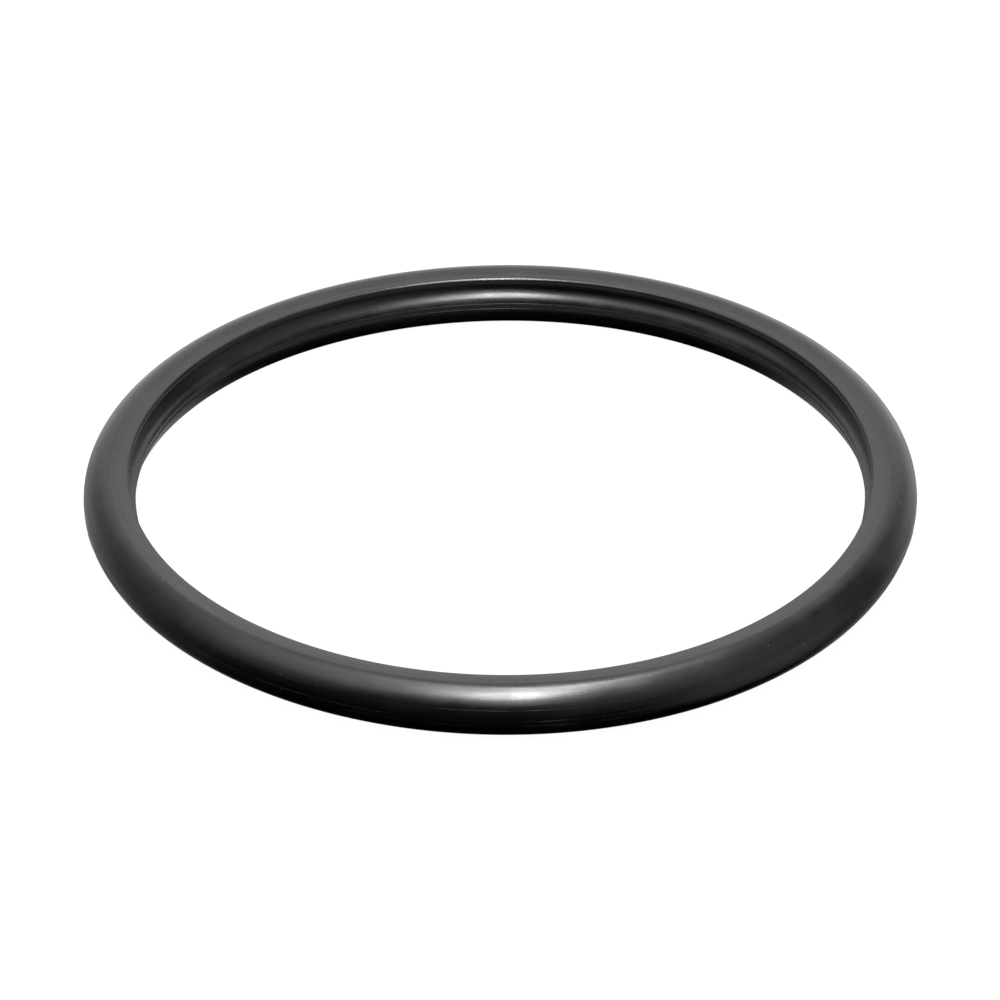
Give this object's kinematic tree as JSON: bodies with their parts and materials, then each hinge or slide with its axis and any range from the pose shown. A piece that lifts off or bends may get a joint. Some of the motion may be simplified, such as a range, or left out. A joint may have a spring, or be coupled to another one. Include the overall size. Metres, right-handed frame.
{
  "type": "pressure cooker sealing ring",
  "caption": "Moulded black rubber sealing ring for a pressure cooker lid, with a round outer wall and a scooped groove between an upper and a lower lip on the inner side.",
  "frame": {"origin": "centre of the ring at the level of its underside", "axes": "+Z along the ring's axis, from the underside towards the top with the upper lip; +X and +Y are equal, because the ring is round"},
  "size_m": [0.24, 0.24, 0.016],
  "materials": {
    "black_rubber": "near-black moulded rubber with a soft satin sheen, fine mould lines round the outer wall"
  },
  "bodies": {
    "root": {"sealing_ring": "black_rubber"}
  },
  "joints": []
}
